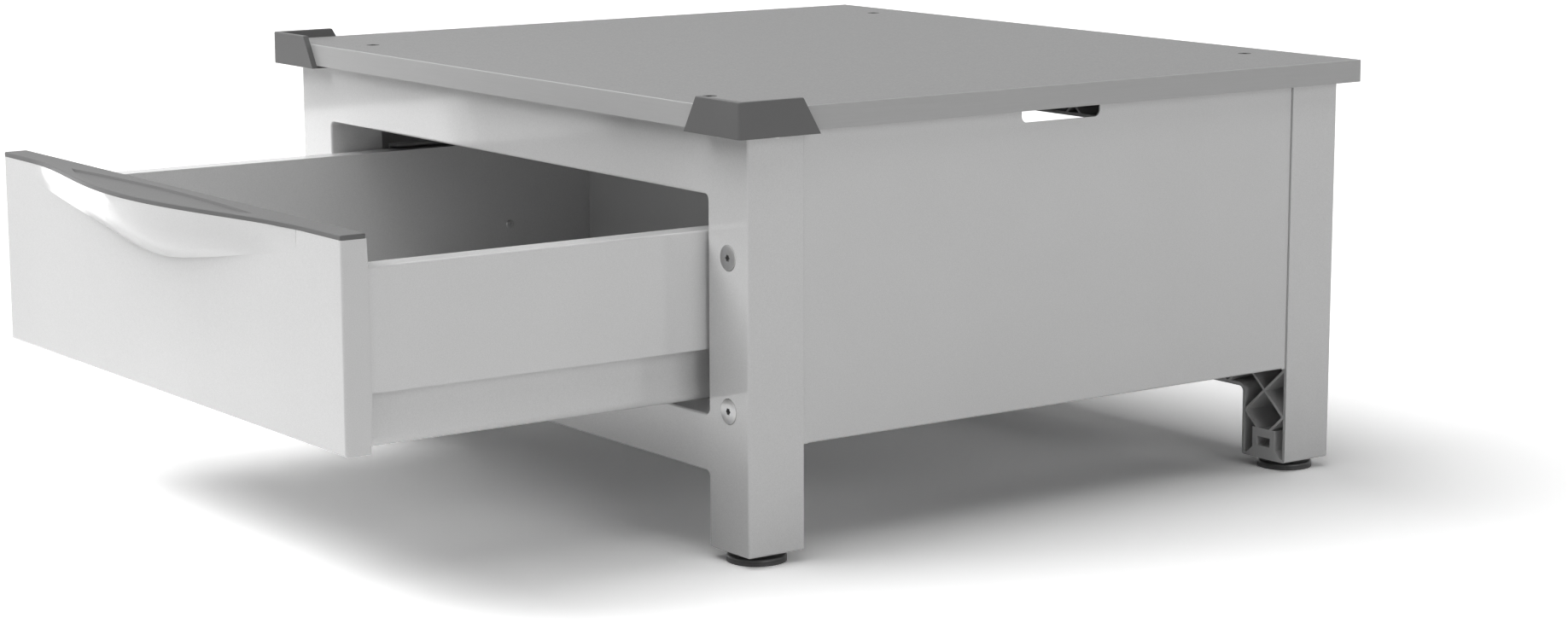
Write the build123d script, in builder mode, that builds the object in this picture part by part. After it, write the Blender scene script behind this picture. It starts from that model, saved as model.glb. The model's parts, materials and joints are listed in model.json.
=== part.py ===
from build123d import *
import math
import os

# Raised base with a drawer for a washing machine or a dryer, in millimetres.
# The origin is on the floor below the middle of the deck, +X to the right, the front at -Y, +Z up.
# The drawer is modelled as it stands open at rest.

# Deck board and its edge band
deck_width = 620.0
deck_depth = 550.0
deck_thickness = 16.0
deck_top = 302.0
band_thickness = 1.0
band_edge = 0.4

# Leg frames: the front one is a moulding, the rear one is its mirror image
frame_side_inset = 11.0
frame_overhang = 12.25
frame_depth = 44.0
leg_width = 45.0
leg_clear = 7.5
top_rail_height = 44.0
low_rail_bottom = 58.5
low_rail_height = 38.0
frame_wall = 2.5
frame_corner = 4.0
leg_end_corner = 2.0
frame_edge_round = 1.5
rib_thickness = 1.8
rib_crossing_z = 59.0
rib_pitch_z = 35.0
rib_bays = 7
smallest_cell = 15.0

# Screws that hold frame, side panel and rail bracket together, with their weld nuts
frame_screw_low_z = 102.0
frame_screw_high_z = 203.0
frame_screw_radius = 3.0
frame_screw_head_radius = 8.5
frame_screw_head_height = 1.6
frame_screw_proud = 0.4
frame_screw_edge = 0.3
frame_screw_end = 1.0
frame_boss_radius = 7.0
screw_hole_clearance = 0.3
head_clearance = 0.2
socket_radius = 2.4
socket_depth = 1.2
weld_nut_flats = 10.0
weld_nut_height = 5.0
thread_clearance = 0.03

# Deck screws
deck_screw_x = 225.0
deck_screw_radius = 2.5
deck_screw_head_radius = 5.0
deck_screw_length = 38.0
deck_socket_radius = 1.8
deck_socket_depth = 1.8
deck_boss_width = 12.0
deck_boss_height = 28.0

# Side panels, folded from sheet
panel_sheet = 1.2
panel_recess = 1.0
panel_bottom = 78.5
panel_end_flange = 42.0
panel_return = 12.0
bend_inside = 0.5
bend_relief = 3.0
slot_length = 70.0
slot_height = 9.6
slot_corner = 4.8

# Levelling feet and their captive nuts
foot_radius = 20.0
foot_thickness = 5.2
foot_edge_round = 2.2
foot_hub_radius = 7.0
foot_gap = 0.2
stud_radius = 4.0
stud_clearance = 0.5
stud_sunk = 3.2
stud_top = 38.0
stud_chamfer = 0.8
foot_boss_width = 23.0
foot_boss_top = 30.0
foot_nut_flats = 13.0
foot_nut_height = 6.5
foot_nut_bottom = 17.0
nut_pocket_clearance = 0.2
running_clearance = 0.05

# Corner stops for the feet of the machine
stop_wall = 4.3
stop_lip = 6.0
stop_flange = 2.0
stop_flange_width = 9.8
stop_leg_top = 45.0
stop_leg_bottom = 59.0
stop_corner_round = 3.0
stop_edge_round = 0.8
stop_screw_radius = 1.75
stop_screw_head_radius = 3.4
stop_screw_head_height = 1.8
stop_screw_length = 12.0
stop_screw_along = 30.0

# Drawer front, its lip and the handle cap on top of it
shown_travel = 267.5
drawer_side_gap = 1.5
drawer_gap_below = 5.5
drawer_gap_above = 3.0
front_thickness = 17.5
front_skin = 3.0
front_edge_round = 2.0
front_rib_pitch = 60.0
front_pocket_margin = 6.0
front_boss_radius = 5.0
cheek_thickness = 1.7
cheek_bow = 1.5
cap_thickness = 3.2
cap_edge_round = 0.8
cap_tongue_width = 2.4
cap_tongue_depth = 5.0
cap_tongue_length = 400.0
cap_tongue_clearance = 0.1
lip_depth = 26.0
lip_half_length = 205.0
lip_drop = 40.1
lip_crease_slope = 0.166
lip_crease_blend = 6.0
lip_belly = 0.15
lip_root = 1.0
lip_end_share = 0.95
lip_bays = 12
groove_depth = 1.6
groove_taper = 30.0
groove_half_length = 137.0
groove_front_margin = 3.25
groove_back_reach = 7.75
groove_end_reach = 0.75

# Drawer tub with double-walled sides
tub_side_gap = 3.5
rim_width = 17.0
rim_drop = 17.8
tub_wall = 2.5
skirt_wall = 2.0
skirt_height = 78.6
tub_back_gap = 34.0
tub_corner = 3.0
tub_floor_round = 6.0
tub_inside_round = 2.5
rim_round = 1.5
back_lip = 6.0
back_lip_corner = 4.0
gusset_thickness = 1.8
gusset_pitch = 115.0
gusset_count = 4
gusset_height = 52.0
drawer_screw_x = 150.0
drawer_screw_low = 23.0
drawer_screw_high = 93.0
drawer_screw_radius = 1.9
drawer_screw_head_radius = 4.0
drawer_screw_head_height = 2.2
drawer_screw_length = 12.0

# Rail brackets
bracket_sheet = 1.5
bracket_flange_width = 14.0
rim_clearance = 2.5
tab_width = 32.0
tab_margin = 11.0
tab_corner = 6.0

# Cabinet runners, drawer runners and what fixes them
runner_sheet = 1.5
track_drop = 3.2
track_gap = 2.5
track_lip_height = 7.0
track_leaf_height = 28.0
runner_screw_radius = 2.0
runner_screw_head_radius = 4.0
runner_screw_head_height = 2.2
runner_screw_pitch = 150.0
runner_screw_drop = 18.0
lug_length = 24.0
lug_height = 18.0
lug_gap = 0.7
stop_tab_height = 13.0
stop_tab_width = 5.0
drawer_runner_width = 11.0
drawer_runner_reach = 5.5
drawer_runner_end = 20.0
drawer_runner_start = 6.0
rivet_radius = 2.0
rivet_head_radius = 3.5
rivet_head_height = 0.8
rivet_pitch = 165.0
rivet_above_axle = 5.4

# Rollers and their axles
roller_radius = 10.0
roller_width = 6.5
roller_dish = 1.0
roller_hub_radius = 4.4
roller_rim = 2.4
roller_edge = 0.5
roller_gap = 0.3
roller_side_gap = 1.5
roller_play = 0.2
axle_radius = 2.5
axle_head_radius = 4.0
axle_head_height = 0.8
roller_setback = 18.75
rear_roller_inset = 58.25
roller_stop_gap = 0.5

os.makedirs("parts", exist_ok=True)

# Levels and places of the standing part
deck_bottom = deck_top - deck_thickness
frame_half = deck_width / 2 - frame_side_inset
frame_outer_y = deck_depth / 2 - frame_overhang
frame_inner_y = frame_outer_y - frame_depth
frame_mid_y = (frame_outer_y + frame_inner_y) / 2
opening_half = frame_half - leg_width
opening_bottom = low_rail_bottom + low_rail_height
opening_top = deck_bottom - top_rail_height
leg_x = frame_half - leg_width / 2
panel_outer = frame_half - panel_recess
bracket_inner = opening_half - bracket_sheet
bracket_end_y = frame_inner_y - panel_sheet
nut_seat_y = bracket_end_y - bracket_sheet

# Levels and places of the drawer
drawer_front_y = -(frame_outer_y + shown_travel)
drawer_back_y = drawer_front_y + front_thickness
drawer_half = opening_half - drawer_side_gap
drawer_bottom = opening_bottom + drawer_gap_below
front_top = opening_top - drawer_gap_above - cap_thickness
front_height = front_top - drawer_bottom
tub_outer = opening_half - tub_side_gap
tub_inner = tub_outer - rim_width
tub_side = tub_inner + tub_wall
rim_top = front_top - rim_drop
tub_end_y = frame_outer_y - tub_back_gap - shown_travel
tub_back_y = tub_end_y - tub_wall
tub_length = tub_back_y - drawer_back_y
skirt_bottom = rim_top - skirt_height

# Levels and places of the runners and rollers
bracket_top = rim_top + rim_clearance + bracket_sheet
bracket_bottom = frame_screw_low_z - tab_margin
track_top = skirt_bottom - track_drop
track_inner = tub_side + track_gap
track_outer = bracket_inner
axle_z = track_top + roller_gap + roller_radius
drawer_runner_side = tub_side + runner_sheet
roller_inner = drawer_runner_side + roller_side_gap
roller_outer = roller_inner + roller_width
lug_inner = roller_outer + lug_gap
front_roller_y = -(frame_inner_y - roller_setback)
rear_roller_y = tub_end_y - rear_roller_inset
track_front_y = front_roller_y - lug_length / 2
stop_tab_y = rear_roller_y + shown_travel + roller_radius + roller_stop_gap
track_rear_y = stop_tab_y + lug_length


def save(piece, label):
    """Name a finished piece and write it to a file of its own."""
    piece.part.label = label
    export_step(piece.part, f"parts/{label}.step")


# Deck board, with countersunk holes over the top rails and pilot holes for the corner stops
deck_corners = GridLocations(2 * deck_screw_x, 2 * frame_mid_y, 2, 2)
board_width = deck_width - 2 * band_thickness
board_depth = deck_depth - 2 * band_thickness
stop_screw_inset = stop_flange_width / 2
stop_screw_places = [
    (deck_width / 2 - stop_screw_along, stop_screw_inset - deck_depth / 2),
    (deck_width / 2 - stop_screw_inset, stop_screw_along - deck_depth / 2),
]
with BuildPart() as deck_board:
    with BuildSketch(Plane.XY.offset(deck_bottom)):
        Rectangle(board_width, board_depth)
    extrude(amount=deck_thickness)
    with Locations(Plane.XY.offset(deck_top)):
        with deck_corners:
            CounterSinkHole(deck_screw_radius + screw_hole_clearance, deck_screw_head_radius)
    with BuildSketch(Plane.XY.offset(deck_bottom)) as pilots:
        with Locations(*stop_screw_places):
            Circle(stop_screw_radius + thread_clearance)
        mirror(about=Plane.YZ)
    extrude(amount=stop_screw_length, mode=Mode.SUBTRACT)
save(deck_board, "deck_board")

with BuildPart() as deck_edge_band:
    with BuildSketch(Plane.XY.offset(deck_bottom)):
        Rectangle(deck_width, deck_depth)
        Rectangle(board_width, board_depth, mode=Mode.SUBTRACT)
    extrude(amount=deck_thickness)
    top_face = deck_edge_band.faces().sort_by(Axis.Z)[-1]
    chamfer(top_face.outer_wire().edges(), band_edge)
save(deck_edge_band, "deck_edge_band")

# Countersunk deck screws, seated flush with the board
with BuildPart() as deck_screw:
    with BuildSketch(Plane.XZ):
        with BuildLine():
            Polyline(
                (0, deck_top),
                (deck_screw_head_radius, deck_top),
                (deck_screw_radius, deck_top - deck_screw_head_radius + deck_screw_radius),
                (deck_screw_radius, deck_top - deck_screw_length + deck_screw_radius),
                (0, deck_top - deck_screw_length),
                close=True,
            )
        make_face()
    revolve(axis=Axis.Z)
    with BuildSketch(Plane.XY.offset(deck_top)):
        RegularPolygon(deck_socket_radius, 6)
    extrude(amount=-deck_socket_depth, mode=Mode.SUBTRACT)
with BuildPart() as deck_screws:
    with deck_corners:
        add(deck_screw.part)
save(deck_screws, "deck_screws")

# Corner stops: two walls that stand above the board, slanted at their ends, on a flange below it
stop_top = deck_top + stop_lip
stop_foot = deck_bottom - stop_flange
stop_x = deck_width / 2
stop_y = -deck_depth / 2
with BuildPart() as corner_stop_right:
    with BuildSketch(Plane.YZ.offset(stop_x)):
        with BuildLine():
            Polyline(
                (stop_y - stop_wall, stop_foot),
                (stop_y + stop_leg_bottom, stop_foot),
                (stop_y + stop_leg_top, stop_top),
                (stop_y - stop_wall, stop_top),
                close=True,
            )
        make_face()
    extrude(amount=stop_wall)
    with BuildSketch(Plane.XZ.offset(-stop_y)):
        with BuildLine():
            Polyline(
                (stop_x + stop_wall, stop_foot),
                (stop_x - stop_leg_bottom, stop_foot),
                (stop_x - stop_leg_top, stop_top),
                (stop_x + stop_wall, stop_top),
                close=True,
            )
        make_face()
    extrude(amount=stop_wall)
    fillet(corner_stop_right.edges().filter_by(Axis.Z).sort_by(Axis.Y)[0], stop_corner_round)
    rim_edges = corner_stop_right.faces().sort_by(Axis.Z)[-1].edges()
    fillet(rim_edges, stop_edge_round)
    with BuildSketch(Plane.XY.offset(stop_foot)):
        with Locations((stop_x, stop_y)):
            Rectangle(stop_leg_bottom, stop_flange_width, align=(Align.MAX, Align.MIN))
            Rectangle(stop_flange_width, stop_leg_bottom, align=(Align.MAX, Align.MIN))
    extrude(amount=stop_flange)
    with BuildSketch(Plane.XY.offset(stop_foot)):
        with Locations(*stop_screw_places):
            Circle(stop_screw_radius + screw_hole_clearance)
    extrude(amount=stop_flange, mode=Mode.SUBTRACT)
save(corner_stop_right, "corner_stop_right")

with BuildPart() as corner_stop_left:
    mirror(corner_stop_right.part, about=Plane.YZ)
save(corner_stop_left, "corner_stop_left")

with BuildPart() as corner_stop_screws:
    with BuildSketch(Plane.XY.offset(stop_foot)):
        with Locations(*stop_screw_places):
            Circle(stop_screw_head_radius)
        mirror(about=Plane.YZ)
    extrude(amount=-stop_screw_head_height)
    with BuildSketch(Plane.XY.offset(stop_foot)):
        with Locations(*stop_screw_places):
            Circle(stop_screw_radius)
        mirror(about=Plane.YZ)
    extrude(amount=stop_screw_length)
save(corner_stop_screws, "corner_stop_screws")

# Front frame: legs and rails moulded in one, with a diagonal rib lattice open to the inside
frame_screw_places = [
    (side * leg_x, level) for side in (-1, 1) for level in (frame_screw_low_z, frame_screw_high_z)
]
rib_pitch_x = leg_x / rib_bays
rib_angle = math.degrees(math.atan2(rib_pitch_z, rib_pitch_x))
rib_length = 2 * (deck_bottom - leg_clear) / math.sin(math.radians(rib_angle))
rib_count = 2 * math.ceil((frame_half + deck_bottom) / rib_pitch_x) + 1
nut_pocket_width = foot_nut_flats + 2 * nut_pocket_clearance
nut_pocket_height = foot_nut_height + 2 * nut_pocket_clearance
nut_pocket_depth = frame_mid_y - frame_inner_y + foot_nut_flats / math.sqrt(3) + nut_pocket_clearance

with BuildSketch(Plane.XZ.offset(frame_outer_y)) as frame_outline:
    with Locations((0, deck_bottom)):
        Rectangle(2 * frame_half, deck_bottom - leg_clear, align=(Align.CENTER, Align.MAX))
    for gap_top, gap_bottom in ((opening_top, opening_bottom), (low_rail_bottom, leg_clear)):
        with Locations((0, gap_top)):
            gap_align = (Align.CENTER, Align.MAX)
            Rectangle(2 * opening_half, gap_top - gap_bottom, align=gap_align, mode=Mode.SUBTRACT)
    leg_ends = frame_outline.vertices().group_by(Axis.Y)[0]
    fillet(leg_ends, leg_end_corner)
    window_corners = frame_outline.vertices().filter_by(lambda v: abs(abs(v.X) - opening_half) < 0.01)
    fillet(window_corners.filter_by(lambda v: v.Y > leg_clear + leg_width / 2), frame_corner)

with BuildSketch(Plane.XZ.offset(frame_inner_y)) as frame_cells:
    offset(frame_outline.sketch_local, amount=-frame_wall)
    with Locations((0, rib_crossing_z)):
        with GridLocations(rib_pitch_x, 1, rib_count, 1):
            Rectangle(rib_length, rib_thickness, rotation=rib_angle, mode=Mode.SUBTRACT)
            Rectangle(rib_length, rib_thickness, rotation=-rib_angle, mode=Mode.SUBTRACT)
    with Locations(*frame_screw_places):
        Circle(frame_boss_radius, mode=Mode.SUBTRACT)
    with Locations((-leg_x, leg_clear), (leg_x, leg_clear)):
        Rectangle(
            foot_boss_width, foot_boss_top - leg_clear, align=(Align.CENTER, Align.MIN), mode=Mode.SUBTRACT
        )
    with Locations((-deck_screw_x, deck_bottom), (deck_screw_x, deck_bottom)):
        Rectangle(deck_boss_width, deck_boss_height, align=(Align.CENTER, Align.MAX), mode=Mode.SUBTRACT)

with BuildPart() as front_frame:
    extrude(frame_outline.sketch, amount=-frame_depth)
    fillet(front_frame.faces().sort_by(Axis.Y)[0].edges(), frame_edge_round)
    open_cells = [cell for cell in frame_cells.sketch.faces() if cell.area > smallest_cell]
    extrude(open_cells, amount=frame_depth - frame_wall, mode=Mode.SUBTRACT)
    with Locations(Plane.XZ.offset(frame_outer_y)):
        with Locations(*frame_screw_places):
            CounterBoreHole(
                frame_screw_radius + screw_hole_clearance,
                frame_screw_head_radius + head_clearance,
                frame_screw_head_height - frame_screw_proud,
            )
    with BuildSketch(Plane.XY.offset(leg_clear)):
        with Locations((-leg_x, -frame_mid_y), (leg_x, -frame_mid_y)):
            Circle(stud_radius + stud_clearance)
    extrude(amount=stud_top - leg_clear, mode=Mode.SUBTRACT)
    with BuildSketch(Plane.XZ.offset(frame_inner_y)):
        pocket_middle = foot_nut_bottom + foot_nut_height / 2
        with Locations((-leg_x, pocket_middle), (leg_x, pocket_middle)):
            Rectangle(nut_pocket_width, nut_pocket_height)
    extrude(amount=nut_pocket_depth, mode=Mode.SUBTRACT)
    with BuildSketch(Plane.XY.offset(deck_bottom)):
        with Locations((-deck_screw_x, -frame_mid_y), (deck_screw_x, -frame_mid_y)):
            Circle(deck_screw_radius + thread_clearance)
    extrude(amount=deck_thickness - deck_screw_length, mode=Mode.SUBTRACT)
save(front_frame, "front_frame")

with BuildPart() as rear_frame:
    mirror(front_frame.part, about=Plane.XZ)
save(rear_frame, "rear_frame")

# Flat-head frame screws, and the hexagon nuts welded to the rail brackets behind the frames
with BuildPart() as frame_screws_front:
    head_seat_y = frame_outer_y + frame_screw_proud - frame_screw_head_height
    with BuildSketch(Plane.XZ.offset(head_seat_y)):
        with Locations(*frame_screw_places):
            Circle(frame_screw_head_radius)
    extrude(amount=frame_screw_head_height)
    chamfer(frame_screws_front.edges().group_by(Axis.Y)[0], frame_screw_edge)
    with BuildSketch(Plane.XZ.offset(head_seat_y)):
        with Locations(*frame_screw_places):
            Circle(frame_screw_radius)
    extrude(amount=-(head_seat_y - nut_seat_y + weld_nut_height + frame_screw_end))
    with BuildSketch(Plane.XZ.offset(frame_outer_y + frame_screw_proud)):
        with Locations(*frame_screw_places):
            RegularPolygon(socket_radius, 6)
    extrude(amount=-socket_depth, mode=Mode.SUBTRACT)
save(frame_screws_front, "frame_screws_front")

with BuildPart() as frame_screws_rear:
    mirror(frame_screws_front.part, about=Plane.XZ)
save(frame_screws_rear, "frame_screws_rear")

with BuildPart() as weld_nuts_front:
    with BuildSketch(Plane.XZ.offset(nut_seat_y)):
        with Locations(*frame_screw_places):
            RegularPolygon(weld_nut_flats / 2, 6, major_radius=False)
            Circle(frame_screw_radius + thread_clearance, mode=Mode.SUBTRACT)
    extrude(amount=-weld_nut_height)
save(weld_nuts_front, "weld_nuts_front")

with BuildPart() as weld_nuts_rear:
    mirror(weld_nuts_front.part, about=Plane.XZ)
save(weld_nuts_rear, "weld_nuts_rear")

# Side panels: folded trays with a hand slot cut into the upper edge
panel_mid = panel_outer - panel_sheet / 2
panel_end_mid = frame_inner_y - panel_sheet / 2
panel_bend = bend_inside + panel_sheet / 2
panel_flange_x = panel_outer - panel_end_flange
with BuildPart() as side_panel_right:
    with BuildSketch(Plane.XY.offset(panel_bottom)):
        with BuildLine():
            FilletPolyline(
                (panel_flange_x, -panel_end_mid),
                (panel_mid, -panel_end_mid),
                (panel_mid, panel_end_mid),
                (panel_flange_x, panel_end_mid),
                radius=panel_bend,
            )
        trace(line_width=panel_sheet)
    extrude(amount=deck_bottom - panel_bottom)
    return_length = 2 * (frame_inner_y - panel_sheet - bend_relief)
    bend_outside = bend_inside + panel_sheet
    with BuildSketch(Plane.XZ):
        with Locations((panel_outer, deck_bottom)):
            Rectangle(2 * bend_outside, 2 * bend_outside)
        with Locations((panel_outer, panel_bottom)):
            Rectangle(2 * bend_outside, 2 * bend_outside)
    extrude(amount=return_length / 2, both=True, mode=Mode.SUBTRACT)
    with BuildSketch(Plane.XZ):
        with BuildLine():
            FilletPolyline(
                (panel_outer - panel_return, panel_bottom + panel_sheet / 2),
                (panel_mid, panel_bottom + panel_sheet / 2),
                (panel_mid, deck_bottom - panel_sheet / 2),
                (panel_outer - panel_return, deck_bottom - panel_sheet / 2),
                radius=panel_bend,
            )
        trace(line_width=panel_sheet)
    extrude(amount=return_length / 2, both=True)
    with BuildSketch(Plane.YZ.offset(panel_outer - panel_return)) as hand_slot:
        with Locations((0, deck_bottom)):
            Rectangle(slot_length, 2 * slot_height)
        fillet(hand_slot.vertices().group_by(Axis.Y)[0], slot_corner)
    extrude(amount=panel_return, mode=Mode.SUBTRACT)
    with Locations(Plane.XZ.offset(frame_inner_y)):
        with Locations((leg_x, frame_screw_low_z), (leg_x, frame_screw_high_z)):
            Hole(frame_screw_radius + screw_hole_clearance)
save(side_panel_right, "side_panel_right")

with BuildPart() as side_panel_left:
    mirror(side_panel_right.part, about=Plane.YZ)
save(side_panel_left, "side_panel_left")

# Rail brackets: folded sheet that carries the runners, with an upper flange over the drawer's rim
bracket_mid = opening_half - bracket_sheet / 2
bracket_end_mid = bracket_end_y - bracket_sheet / 2
bracket_bend = bend_inside + bracket_sheet / 2
tab_x = bracket_inner + tab_width
tab_top = frame_screw_high_z + tab_margin
web_half_length = bracket_end_y - bracket_sheet - bend_relief
with BuildPart() as rail_bracket_right:
    with BuildSketch(Plane.XY.offset(bracket_bottom)):
        with BuildLine():
            FilletPolyline(
                (tab_x, -bracket_end_mid),
                (bracket_mid, -bracket_end_mid),
                (bracket_mid, bracket_end_mid),
                (tab_x, bracket_end_mid),
                radius=bracket_bend,
            )
        trace(line_width=bracket_sheet)
    extrude(amount=tab_top - bracket_bottom)
    with BuildSketch(Plane.XZ):
        with BuildLine():
            FilletPolyline(
                (bracket_mid, bracket_bottom),
                (bracket_mid, bracket_top - bracket_sheet / 2),
                (opening_half - bracket_flange_width, bracket_top - bracket_sheet / 2),
                radius=bracket_bend,
            )
        trace(line_width=bracket_sheet)
    extrude(amount=web_half_length, both=True)
    tab_edges = rail_bracket_right.edges().filter_by(Axis.Y).filter_by(lambda e: e.center().X > leg_x)
    fillet(tab_edges, tab_corner)
    with Locations(Plane.XZ.offset(bracket_end_y)):
        with Locations((leg_x, frame_screw_low_z), (leg_x, frame_screw_high_z)):
            Hole(frame_screw_radius + screw_hole_clearance)
    with BuildSketch(Plane.YZ.offset(bracket_inner)):
        with Locations((0, track_top - runner_screw_drop)):
            with GridLocations(runner_screw_pitch, 1, 3, 1):
                Circle(runner_screw_radius + thread_clearance)
    extrude(amount=bracket_sheet, mode=Mode.SUBTRACT)
save(rail_bracket_right, "rail_bracket_right")

with BuildPart() as rail_bracket_left:
    mirror(rail_bracket_right.part, about=Plane.YZ)
save(rail_bracket_left, "rail_bracket_left")

# Cabinet runners: a leaf on the bracket, a track with a turned-down lip, a front lug and a rear stop
runner_mid = track_outer - runner_sheet / 2
runner_bend = bend_inside + runner_sheet / 2
track_mid = track_top - runner_sheet / 2
stop_tab_inner = roller_inner + (roller_width - stop_tab_width) / 2
with BuildPart() as cabinet_runner_right:
    with BuildSketch(Plane.XZ.offset(-track_rear_y)):
        with BuildLine():
            FilletPolyline(
                (runner_mid, track_top - track_leaf_height),
                (runner_mid, track_mid),
                (track_inner + runner_sheet / 2, track_mid),
                (track_inner + runner_sheet / 2, track_top - track_lip_height),
                radius=runner_bend,
            )
        trace(line_width=runner_sheet)
    extrude(amount=track_rear_y - track_front_y)
    with BuildSketch(Plane.YZ.offset(lug_inner)):
        with Locations((front_roller_y, track_mid)):
            Rectangle(lug_length, track_top + lug_height - track_mid, align=(Align.CENTER, Align.MIN))
        with Locations((front_roller_y, axle_z)):
            Circle(axle_radius + thread_clearance, mode=Mode.SUBTRACT)
    extrude(amount=runner_sheet)
    lug_corners = cabinet_runner_right.edges().filter_by(Axis.X).group_by(Axis.Z)[-1]
    fillet(lug_corners, lug_length / 4)
    with BuildSketch(Plane.XZ.offset(-stop_tab_y)):
        with Locations((stop_tab_inner, track_mid)):
            Rectangle(stop_tab_width, stop_tab_height, align=(Align.MIN, Align.MIN))
    extrude(amount=-runner_sheet)
    with BuildSketch(Plane.YZ.offset(track_outer - runner_sheet)):
        with Locations((0, track_top - runner_screw_drop)):
            with GridLocations(runner_screw_pitch, 1, 3, 1):
                Circle(runner_screw_radius + screw_hole_clearance)
    extrude(amount=runner_sheet, mode=Mode.SUBTRACT)
save(cabinet_runner_right, "cabinet_runner_right")

with BuildPart() as cabinet_runner_left:
    mirror(cabinet_runner_right.part, about=Plane.YZ)
save(cabinet_runner_left, "cabinet_runner_left")

with BuildPart() as runner_screws_right:
    runner_screw_seat = track_outer - runner_sheet
    with BuildSketch(Plane.YZ.offset(runner_screw_seat)):
        with Locations((0, track_top - runner_screw_drop)):
            with GridLocations(runner_screw_pitch, 1, 3, 1):
                Circle(runner_screw_head_radius)
    extrude(amount=-runner_screw_head_height)
    with BuildSketch(Plane.YZ.offset(runner_screw_seat)):
        with Locations((0, track_top - runner_screw_drop)):
            with GridLocations(runner_screw_pitch, 1, 3, 1):
                Circle(runner_screw_radius)
    extrude(amount=runner_sheet + 2 * bracket_sheet)
save(runner_screws_right, "runner_screws_right")

with BuildPart() as runner_screws_left:
    mirror(runner_screws_right.part, about=Plane.YZ)
save(runner_screws_left, "runner_screws_left")

# Rollers and axles: the front pair turns on the cabinet's lugs, the rear pair on the drawer's runners
roller_middle = (roller_inner + roller_outer) / 2
dish_outer = roller_radius - roller_rim
with BuildPart() as roller:
    with BuildSketch(Plane.YZ.offset(roller_inner)):
        Circle(roller_radius)
        Circle(axle_radius + running_clearance, mode=Mode.SUBTRACT)
    extrude(amount=roller_width)
    chamfer(roller.edges().filter_by(GeomType.CIRCLE).group_by(SortBy.RADIUS)[-1], roller_edge)
    for face_x, inwards in ((roller_inner, roller_dish), (roller_outer, -roller_dish)):
        with BuildSketch(Plane.YZ.offset(face_x)):
            Circle(dish_outer)
            Circle(roller_hub_radius, mode=Mode.SUBTRACT)
        extrude(amount=inwards, mode=Mode.SUBTRACT)

for place, roller_y in (("front", front_roller_y), ("rear", rear_roller_y)):
    with BuildPart() as roller_right:
        with Locations((0, roller_y, axle_z)):
            add(roller.part)
    save(roller_right, f"{place}_roller_right")
    with BuildPart() as roller_left:
        mirror(roller_right.part, about=Plane.YZ)
    save(roller_left, f"{place}_roller_left")

with BuildPart() as front_axle_right:
    axle_end = roller_inner - roller_play
    shoulder = roller_outer + roller_play
    with BuildSketch(Plane.YZ.offset(axle_end - axle_head_height)):
        with Locations((front_roller_y, axle_z)):
            Circle(axle_head_radius)
    extrude(amount=axle_head_height)
    with BuildSketch(Plane.YZ.offset(shoulder)):
        with Locations((front_roller_y, axle_z)):
            Circle(axle_head_radius)
    extrude(amount=lug_inner - shoulder)
    with BuildSketch(Plane.YZ.offset(axle_end)):
        with Locations((front_roller_y, axle_z)):
            Circle(axle_radius)
    extrude(amount=lug_inner + runner_sheet - axle_end)
save(front_axle_right, "front_axle_right")

with BuildPart() as front_axle_left:
    mirror(front_axle_right.part, about=Plane.YZ)
save(front_axle_left, "front_axle_left")

with BuildPart() as rear_axle_right:
    with BuildSketch(Plane.YZ.offset(drawer_runner_side)):
        with Locations((rear_roller_y, axle_z)):
            Circle(axle_head_radius)
    extrude(amount=roller_side_gap - roller_play)
    with BuildSketch(Plane.YZ.offset(roller_outer + roller_play)):
        with Locations((rear_roller_y, axle_z)):
            Circle(axle_head_radius)
    extrude(amount=axle_head_height)
    with BuildSketch(Plane.YZ.offset(tub_side)):
        with Locations((rear_roller_y, axle_z)):
            Circle(axle_radius)
    extrude(amount=roller_outer + roller_play - tub_side)
save(rear_axle_right, "rear_axle_right")

with BuildPart() as rear_axle_left:
    mirror(rear_axle_right.part, about=Plane.YZ)
save(rear_axle_left, "rear_axle_left")

# Drawer runners: angle section whose flange rides on the front rollers, riveted to the tub
drawer_runner_top = axle_z + roller_radius + roller_gap + runner_sheet
drawer_runner_front_y = drawer_back_y + tub_wall + drawer_runner_start
drawer_runner_rear_y = tub_end_y - drawer_runner_end
rivet_middle_y = (drawer_runner_front_y + drawer_runner_rear_y) / 2
rivet_z = axle_z + rivet_above_axle
with BuildPart() as drawer_runner_right:
    with BuildSketch(Plane.XZ.offset(-drawer_runner_rear_y)):
        with BuildLine():
            FilletPolyline(
                (tub_side + runner_sheet / 2, axle_z - drawer_runner_reach),
                (tub_side + runner_sheet / 2, drawer_runner_top - runner_sheet / 2),
                (tub_side + drawer_runner_width, drawer_runner_top - runner_sheet / 2),
                radius=runner_bend,
            )
        trace(line_width=runner_sheet)
    extrude(amount=drawer_runner_rear_y - drawer_runner_front_y)
    with BuildSketch(Plane.YZ.offset(tub_side)):
        with Locations((rivet_middle_y, rivet_z)):
            with GridLocations(rivet_pitch, 1, 3, 1):
                Circle(rivet_radius + thread_clearance)
        with Locations((rear_roller_y, axle_z)):
            Circle(axle_radius + thread_clearance)
    extrude(amount=runner_sheet, mode=Mode.SUBTRACT)
save(drawer_runner_right, "drawer_runner_right")

with BuildPart() as drawer_runner_left:
    mirror(drawer_runner_right.part, about=Plane.YZ)
save(drawer_runner_left, "drawer_runner_left")

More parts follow.
